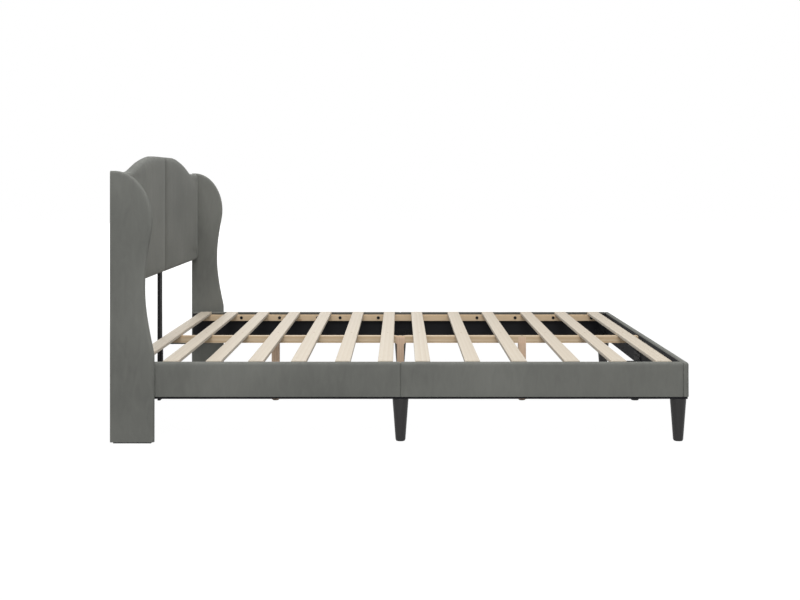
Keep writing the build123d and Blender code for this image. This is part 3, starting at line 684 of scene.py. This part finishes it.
def sheetShape(profile, axis, start, end, shape=None):
    # a sheet with the profile as its section, added to a shape where one is given
    shape = shape or bmesh.new()
    count = math.ceil((end - start) / backingSheet["step"])
    rows = [[shape.verts.new(placePoint(pair, axis, start + (end - start) * at / count)) for pair in profile]
            for at in range(count + 1)]
    for lower, upper in zip(rows, rows[1:]):
        for at in range(len(profile) - 1):
            shape.faces.new((lower[at], lower[at + 1], upper[at + 1], upper[at]))
    bmesh.ops.recalc_face_normals(shape, faces=shape.faces)
    return shape


def thicken(piece):
    thick = piece.modifiers.new("thickness", "SOLIDIFY")
    thick.thickness, thick.offset = backingSheet["thickness"], 0
    settle(piece)


def finishLining(name, shape, limits, node):
    piece = makePiece(name, shape, "blackBackingCloth")
    points = readPoints(piece.data)
    waves = slowWaves(points, backingSheet["wave"]) * backingSheet["waveDepth"]
    points += readPoints(piece.data, "normal") * waves[:, None]
    half = Vector((backingSheet["thickness"] / 2,) * 3)
    writePoints(piece.data, np.clip(points, limits[0] + half, limits[1] - half))
    thicken(piece)
    attach(piece, [node])


def liningProfile(inner, outer, bottom, top, hem):
    # down the inner face, round under the board and up behind the cover; with its length
    way, turn = (1 if outer > inner else -1), backingSheet["turn"]
    profile = bentStrip([(inner, top), (inner, bottom + turn), (inner + way * turn, bottom),
                         (outer - way * turn, bottom), (outer, bottom + turn), (outer, hem)])
    return profile, sum(math.dist(start, end) for start, end in zip(profile, profile[1:]))


def makeSideLining(rail, side):
    low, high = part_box("side_rail_linings")
    boardLow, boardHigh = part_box(f"{rail}_board")
    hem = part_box(f"{rail}_cover")[0].z + railPad["liningShows"]
    edge = backingSheet["thickness"]
    inner = min(boardLow.y, boardHigh.y, key=abs) - side * edge
    outer = side * (max(abs(low.y), abs(high.y)) - edge)
    profile, length = liningProfile(inner, outer, low.z + edge, high.z, hem)
    shape = sheetShape(profile, 0, boardLow.x, boardHigh.x)
    if rail.endswith("head"):  # it also folds round the rail's free end
        low.x -= edge
        sheetShape([(low.x, low.z + edge), (low.x, boardHigh.z)], 1, boardLow.y, boardHigh.y, shape)
    finishLining(camelName(f"{rail}_lining"), shape, (low, high), "side_rail_linings")


def makeFootLining():
    low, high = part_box("foot_rail_lining")
    boardLow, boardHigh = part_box("foot_rail_board")
    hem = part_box("foot_rail_cover")[0].z + railPad["liningShows"]
    edge = backingSheet["thickness"]
    profile, length = liningProfile(boardLow.x - edge, high.x - edge, low.z + edge, high.z, hem)
    shape = sheetShape(profile, 1, boardLow.y, boardHigh.y)
    low.x = min(low.x, boardLow.x - 2 * edge)
    for end in (low.y + edge, high.y - edge):  # the hem also turns up at the rail's two ends
        flap = [(end + math.copysign(edge, -end), low.z + edge), (end, low.z + 2 * edge), (end, hem)]
        sheetShape(flap, 0, low.x, high.x - edge, shape)
    finishLining("footRailLining", shape, (low, high), "foot_rail_lining")


def makeBackCloth():
    node = "headboard_back_cloth"
    low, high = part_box(node)
    middle, clear = (low.x + high.x) / 2, meshing["overrun"]
    profile = bentStrip([(middle, low.z - clear), (middle, high.z + clear)])
    piece = makePiece("headboardBackCloth", sheetShape(profile, 1, low.y - clear, high.y + clear),
                      "blackBackingCloth")
    thicken(piece)
    outline = cutLoop(node, 0, 0.5)
    cutAway(piece, [slabShape(outline, 0, (low.x - clear, high.x + clear))], "INTERSECT")
    points = readPoints(piece.data)
    points[:, 0] += slowWaves(points * (0, 1, 1), backingSheet["wave"]) * backingSheet["waveDepth"]
    writePoints(piece.data, points)
    attach(piece, [node])
    return outline, low.x


for sideName, side in sides.items():
    for half in halves:
        makeSideLining(f"{sideName}_rail_{half}", side)
makeFootLining()
backOutline, backX = makeBackCloth()
print("backing cloth made")

# Geometry Nodes for what repeats: each tree has a named input for every size that it is given
socketKinds = {float: "Float", int: "Int", bool: "Bool", tuple: "Vector", bpy.types.Material: "Material"}


def growFromTree(name, buildTree, mesh, finish, nodes, sizes):
    # the tree's result on a mesh of points or edges becomes a plain mesh
    sizes["Finish"] = finishes[finish]
    tree = bpy.data.node_groups.new(name + "Tree", "GeometryNodeTree")
    kinds = {"Geometry": "Geometry", **{label: socketKinds[type(value)] for label, value in sizes.items()}}
    newSocket = tree.interface.new_socket
    identifiers = {label: newSocket(label, in_out="INPUT", socket_type="NodeSocket" + kind).identifier
                   for label, kind in kinds.items()}
    newSocket("Geometry", in_out="OUTPUT", socket_type="NodeSocketGeometry")
    add = partial(addNode, tree)
    given = add("GroupInput").outputs
    instances, shift = buildTree(add, given)
    real = add("RealizeInstances", links={"Geometry": instances})
    if shift:
        real = add("SetPosition", links={"Geometry": real, "Offset": shift})
    covered = add("SetMaterial", links={"Geometry": real, "Material": given["Finish"]})
    add("GroupOutput", links={"Geometry": covered})
    piece = newObject(name, mesh)
    modifier = piece.modifiers.new(tree.name, "NODES")
    modifier.node_group = tree
    for label, value in sizes.items():
        modifier[identifiers[label]] = value
    settle(piece)
    attach(piece, nodes)


def pointMesh(name, points, attributes={}, edges=()):
    mesh = bpy.data.meshes.new(name)
    mesh.from_pydata([tuple(point) for point in points], edges, [])
    for label, values in attributes.items():
        several = hasattr(values[0], "__len__")
        attribute = mesh.attributes.new(label, "FLOAT_VECTOR" if several else "FLOAT", "POINT")
        attribute.data.foreach_set("vector" if several else "value", np.array(values, np.float32).ravel())
    return mesh


def looseParts(node):
    # the points of each separate solid in a node
    shape = takeShape(node)
    parts, seen = [], set()
    for first in shape.verts:
        group = [] if first in seen else [first]
        seen.update(group)
        for vert in group:  # the group grows while it is walked
            near = [edge.other_vert(vert) for edge in vert.link_edges]
            group += [other for other in near if other not in seen]
            seen.update(near)
        if group:
            parts.append(np.array([vert.co for vert in group]))
    shape.free()
    return parts


shankShare, rimShare = 0.2, 0.95  # shares of a head's radius that tell its shank and rim


def readFastener(points):
    # where a bolt's head sits, which way it is driven, and its sizes
    low, high = points.min(axis=0), points.max(axis=0)
    axis = int(np.argmax(high - low))
    centre = (low + high) / 2
    reach = np.linalg.norm(np.delete(points - centre, axis, axis=1), axis=1)
    radius = reach.max()
    wide = points[reach > rimShare * radius, axis]
    headFirst = wide.mean() < centre[axis]
    drive, seat = np.zeros(3), centre.copy()
    drive[axis] = 1 if headFirst else -1
    seat[axis] = wide.max() if headFirst else wide.min()
    height = float(np.ptp(wide))
    return {"seat": seat, "drive": drive, "radius": float(radius), "height": height,
            "shank": float(reach[reach > shankShare * radius].min()),
            "length": float(high[axis] - low[axis]) - height}


# Slats: sawn strips with eased edges and a countersunk hole at the middle
slat = {"edgeRadius": 2 * mm, "edgeCount": 3, "holeSides": 20, "holeOver": 1.3, "lengthSteps": 24,
        "crook": 1.6 * mm, "crookStep": 7, "crookRow": (0.3, 0.7), "lateTone": 0.55, "seed": 11}
slatScrew = readFastener(looseParts("slat_screws")[0])


def slatTree(add, given):
    section = add("CurvePrimitiveQuadrilateral", links={
        "Width": given["Width"], "Height": given["Thickness"]})
    eased = add("FilletCurve", {"mode": "POLY"}, {"Count": slat["edgeCount"]},
                {"Curve": section, "Radius": given["Edge Radius"]})
    line = add("CurvePrimitiveLine", links={"Start": given["Start"], "End": given["End"]})
    steps = add("ResampleCurve", {"mode": "COUNT"}, {"Count": slat["lengthSteps"]}, {"Curve": line})
    bar = add("CurveToMesh", values={"Fill Caps": True}, links={"Curve": steps, "Profile Curve": eased})
    drill = add("MeshCylinder", values={"Vertices": slat["holeSides"]},
                links={"Radius": given["Hole Radius"], "Depth": given["Drill Length"]})
    raised = add("Transform", links={"Geometry": drill, "Translation": given["Hole Place"]})
    drilled = add("MeshBoolean", {"operation": "DIFFERENCE", "solver": "MANIFOLD"},
                  links={"Mesh 1": bar, "Mesh 2": raised})
    tone = add("RandomValue", values={3: slat["lateTone"]}, links={"Seed": given["Seed"]})
    toned = add("StoreNamedAttribute", values={"Name": "boardTone"},
                links={"Geometry": given["Geometry"], "Value": tone.outputs[1]})
    copies = add("InstanceOnPoints", links={"Points": toned, "Instance": drilled})
    place = add("SeparateXYZ", links={0: add("InputPosition")})
    along = add("Math", {"operation": "DIVIDE"}, links={0: place.outputs["Y"], 1: given["Half Length"]})
    bend = add("Math", {"operation": "POWER"}, {1: 2}, {0: along})
    lean = add("InputNamedAttribute", values={"Name": "crookShare"})
    sideways = add("Math", {"operation": "MULTIPLY"}, links={0: bend, 1: lean})
    crooked = add("Math", {"operation": "MULTIPLY"}, links={0: sideways, 1: given["Crook"]})
    return copies, add("CombineXYZ", links={"X": crooked})


def makeSlats():
    names = sorted(node for node in frame["nodes"] if node.startswith("slat_") and node[-1].isdigit())
    boxes = [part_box(node) for node in names]
    centres = [(low + high) / 2 for low, high in boxes]
    size = boxes[0][1] - boxes[0][0]
    crooks = [noise.noise(Vector((centre.x * slat["crookStep"], *slat["crookRow"]))) for centre in centres]
    mesh = pointMesh("slatPlaces", centres, {"crookShare": crooks})
    growFromTree("slats", slatTree, mesh, "palePoplar", names, {
        "Width": size.x, "Thickness": size.z, "Half Length": size.y / 2, "Start": (0.0, -size.y / 2, 0.0),
        "End": (0.0, size.y / 2, 0.0), "Edge Radius": slat["edgeRadius"],
        "Hole Radius": slatScrew["radius"], "Drill Length": 2 * slatScrew["height"] * slat["holeOver"],
        "Hole Place": (0.0, 0.0, size.z / 2), "Crook": slat["crook"], "Seed": slat["seed"]})


makeSlats()
print("slats made")

# Bolts and screws: socket heads for the bolts, countersunk cross heads for the wood screws
fastenerFinish = dict.fromkeys(("ledger_bolts", "bracket_bolts", "centre_leg_bolts", "wing_bolts",
                                "bracket_screws"), "blackOxideSteel") | {"slat_screws": "zincScrewSteel"}
boltHead = {"sides": 24, "shankSides": 12, "socketSides": 6, "socketShare": 0.42, "crossShare": 0.55,
                "crossWidth": 0.22, "driveDepth": 0.6, "domeShare": 0.82, "sunkShare": 0.5}


def fastenerTree(add, given):
    shaft = add("MeshCylinder", values={"Vertices": boltHead["shankSides"]},
                links={"Radius": given["Shank Radius"], "Depth": given["Shank Length"]})
    cone = add("MeshCone", values={"Vertices": boltHead["sides"]},
               links={"Radius Top": given["Seat Radius"], "Radius Bottom": given["Face Radius"],
                      "Depth": given["Head Height"]})
    socket = add("MeshCylinder", values={"Vertices": boltHead["socketSides"]},
                 links={"Radius": given["Drive Radius"], "Depth": given["Drive Length"]})
    bars = [add("MeshCube", links={"Size": given[bar]}) for bar in ("Bar Along", "Bar Across")]
    union = {"operation": "UNION", "solver": "EXACT"}
    cross = add("MeshBoolean", union, links={"Mesh 2": bars})
    driver = add("Switch", links={"Switch": given["Cross Drive"], "False": socket, "True": cross})
    placed = ((shaft, "Shank Place"), (cone, "Face Place"), (driver, "Face Place"))
    shank, head, drive = [add("Transform", links={"Geometry": solid, "Translation": given[place]})
                          for solid, place in placed]
    whole = add("MeshBoolean", union, links={"Mesh 2": [head, shank]})
    fastener = add("MeshBoolean", {"operation": "DIFFERENCE", "solver": "EXACT"},
                   links={"Mesh 1": whole, "Mesh 2": drive})
    way = add("InputNamedAttribute", {"data_type": "FLOAT_VECTOR"}, {"Name": "drive"})
    turned = add("AlignRotationToVector", {"axis": "Z"}, links={"Vector": way})
    return add("InstanceOnPoints",
               links={"Points": given["Geometry"], "Instance": fastener, "Rotation": turned}), None


def makeFasteners(node, finish):
    alike = {}
    for item in map(readFastener, looseParts(node)):  # one run of the tree for each size
        alike.setdefault((round(item["length"] / mm), round(item["radius"] / mm, 1)), []).append(item)
    cross = node.endswith("screws")
    for number, (size, items) in enumerate(sorted(alike.items())):
        radius, height, length = [items[0][name] for name in ("radius", "height", "length")]
        drive = radius * boltHead["crossShare" if cross else "socketShare"]
        depth = 2 * height * boltHead["driveDepth"]
        wide, narrow = 2 * drive, 2 * drive * boltHead["crossWidth"]
        mesh = pointMesh("fastenerPlaces", [item["seat"] for item in items],
                         {"drive": [item["drive"] for item in items]})
        name = camelName(node[:-1] + "_set") + (str(number + 1) if len(alike) > 1 else "")
        growFromTree(name, fastenerTree, mesh, finish, [node], {
            "Shank Radius": items[0]["shank"], "Shank Length": length + height / 2,  # half way into the head
            "Shank Place": (0.0, 0.0, length / 2 - height / 4), "Face Place": (0.0, 0.0, -height),
            "Seat Radius": radius * (boltHead["sunkShare"] if cross else 1),
            "Face Radius": radius * (1 if cross else boltHead["domeShare"]), "Head Height": height,
            "Drive Radius": drive, "Drive Length": depth, "Bar Along": (wide, narrow, depth),
            "Bar Across": (narrow, wide, depth), "Cross Drive": cross})


for node, finish in fastenerFinish.items():
    makeFasteners(node, finish)
print("bolts and screws made")

# Stitches down the headboard's seam, and staples round its back cloth
stitch = {"pitch": 6 * mm, "length": 4.2 * mm, "thread": 0.9 * mm, "sides": 8, "rise": 0.2 * mm,
          "pathStep": 8 * mm}
staple = {"pitch": 55 * mm, "width": 10 * mm, "leg": 3 * mm, "wire": 0.45 * mm, "bend": 0.9 * mm,
          "bendCount": 3, "inset": 9 * mm, "sides": 6}


def addPlaces(add, given, axis):
    # points at the pitch along the path, and the turn that lays an axis along it
    path = add("MeshToCurve", links={"Mesh": given["Geometry"]})
    places = add("ResampleCurve", {"mode": "LENGTH"}, links={"Curve": path, "Length": given["Pitch"]})
    return places, add("AlignRotationToVector", {"axis": axis},
                       links={"Vector": add("InputTangent")})


def stitchTree(add, given):
    places, along = addPlaces(add, given, "Z")
    sides = stitch["sides"]
    ball = add("MeshUVSphere", values={"Segments": sides, "Rings": sides, "Radius": 0.5})
    return add("InstanceOnPoints", links={
        "Points": places, "Instance": ball, "Rotation": along, "Scale": given["Stitch Size"]}), None


def stapleTree(add, given):
    places, along = addPlaces(add, given, "X")
    crown = add("CurvePrimitiveQuadrilateral", links={"Width": given["Width"], "Height": given["Leg"]})
    bent = add("FilletCurve", {"mode": "POLY"}, {"Count": staple["bendCount"]},
               {"Curve": crown, "Radius": given["Bend"]})
    section = add("CurvePrimitiveCircle", values={"Resolution": staple["sides"]},
                  links={"Radius": given["Wire"]})
    wire = add("CurveToMesh", links={"Curve": bent, "Profile Curve": section})
    facing = add("AlignRotationToVector", {"axis": "Y", "pivot_axis": "X"}, {"Vector": (-1, 0, 0)},
                 {"Rotation": along})
    return add("InstanceOnPoints", links={"Points": places, "Instance": wire, "Rotation": facing}), None


def makeStitches():
    # the seam's own line, read off the finished pad from the lower edge over the crown
    pad = bpy.data.objects["headboardUpholstery"]
    low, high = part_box("headboard_pad")
    count = math.ceil((high.z - low.z) / stitch["pathStep"])
    path = []
    for at in range(1, count):
        start = Vector((high.x + meshing["overrun"], 0, low.z + (high.z - low.z) * at / count))
        hit, place, normal, face = pad.ray_cast(start, Vector((-1, 0, 0)))
        if hit:
            path.append(place + normal * stitch["rise"])
    mesh = pointMesh("seamPath", path, edges=[(at, at + 1) for at in range(len(path) - 1)])
    thread = stitch["thread"]
    growFromTree("headboardSeamStitches", stitchTree, mesh, "greyThread", [], {
        "Pitch": stitch["pitch"], "Stitch Size": (thread, thread, stitch["length"])})


def makeStaples():
    line = growLoop(backOutline, -staple["inset"])
    depth = backX + staple["leg"] / 2
    mesh = pointMesh("staplePath", [(depth, y, z) for y, z in line],
                     edges=[(at, (at + 1) % len(line)) for at in range(len(line))])
    growFromTree("backClothStaples", stapleTree, mesh, "galvanisedWire", [], {
        name.capitalize(): staple[name] for name in ("pitch", "width", "leg", "wire", "bend")})


makeStitches()
makeStaples()
print("stitches and staples made")

# Studio: a pale floor that fades to white, a plain surround and soft lamps
studio = {"floorSize": 40, "floorDrop": 0.3 * mm, "floorColour": "808080", "shadowShare": 0.2,
          "floorGlow": 1.22, "fadeStart": 1.9, "fadeEnd": 4.5, "surround": 0.26}
lamps = {
    "ceilingLamp": {"place": (0, -0.4, 3.4), "aim": (0, 0, 0.3), "size": (3.4, 2.6), "power": 71},
    "cameraLamp": {"place": (-0.2, -4.6, 4.2), "aim": (0, 0, 0.3), "size": (3, 1.6), "power": 118},
    "footLamp": {"place": (4.2, -1.6, 2.2), "aim": (-0.4, 0.1, 0.5), "size": (2, 1.6), "power": 15},
    "frontLamp": {"place": (-0.2, -6, 1.6), "aim": (0, 0, 0.4), "size": (4, 1.6), "power": 100},
    "backLamp": {"place": (-1.6, 5.6, 2), "aim": (0, 0, 0.4), "size": (4, 1.8), "power": 58},
}
viewpoint = {"place": (-0.0018, -4.885, 0.9657), "lens": 50, "shiftY": -0.1499}


def seenDirectly(add):
    # 1 for what the camera sees straight, in a reflection or through glass
    path = add("LightPath").outputs
    seen = path["Is Camera Ray"]
    for ray in ("Is Glossy Ray", "Is Transmission Ray"):
        seen = add("Math", {"operation": "MAXIMUM"}, links={0: seen, 1: path[ray]})
    return seen


def makeFloor():
    shape = bmesh.new()
    bmesh.ops.create_grid(shape, x_segments=2, y_segments=2, size=studio["floorSize"] / 2)
    bmesh.ops.translate(shape, verts=shape.verts, vec=(0, 0, -studio["floorDrop"]))
    floor = makePiece("studioFloor", shape)
    material = bpy.data.materials.new("paleFloor")
    material.use_nodes = True
    material.node_tree.nodes.clear()
    add = partial(addNode, material.node_tree)
    place = add("TexCoord").outputs["Object"]
    distance = add("VectorMath", {"operation": "LENGTH"}, links={0: place})
    fade = add("MapRange", {"interpolation_type": "SMOOTHSTEP"},
               {1: studio["fadeStart"], 2: studio["fadeEnd"], 3: studio["shadowShare"], 4: 0},
               {0: distance.outputs["Value"]})
    matt = add("BsdfDiffuse", values={"Color": fromHex(studio["floorColour"])})
    white = add("Emission", values={"Strength": studio["floorGlow"]})
    shown = add("MixShader", links={0: fade, 1: white, 2: matt})
    floorShader = add("MixShader", links={0: seenDirectly(add), 1: matt, 2: shown})
    add("OutputMaterial", links={"Surface": floorShader})
    floor.data.materials.append(material)


def makeSurround():
    world = bpy.data.worlds.new("plainSurround")
    world.use_nodes = True
    bpy.context.scene.world = world
    tree = world.node_tree
    add = partial(addNode, tree)
    strength = add("MapRange", values={3: studio["surround"]}, links={0: seenDirectly(add)})
    background = tree.nodes["Background"]
    background.inputs["Color"].default_value = (1, 1, 1, 1)
    tree.links.new(strength.outputs[0], background.inputs["Strength"])


def makeLamps():
    for name, lamp in lamps.items():
        light = bpy.data.lights.new(name, "AREA")
        light.shape, light.size, light.size_y = "RECTANGLE", *lamp["size"]
        light.energy = lamp["power"]
        holder = newObject(name, light)
        holder.location = lamp["place"]
        gaze = Vector(lamp["aim"]) - Vector(lamp["place"])
        holder.rotation_euler = gaze.to_track_quat("-Z", "Y").to_euler()


def makeCamera():
    camera = bpy.data.cameras.new("camera")
    camera.lens, camera.shift_y = viewpoint["lens"], viewpoint["shiftY"]
    holder = newObject("camera", camera)
    holder.location = viewpoint["place"]
    holder.rotation_euler = (math.radians(90), 0, 0)
    bpy.context.scene.camera = holder


makeFloor()
makeSurround()
makeLamps()
makeCamera()
bpy.context.scene.view_settings.view_transform = "Standard"
print("studio made")
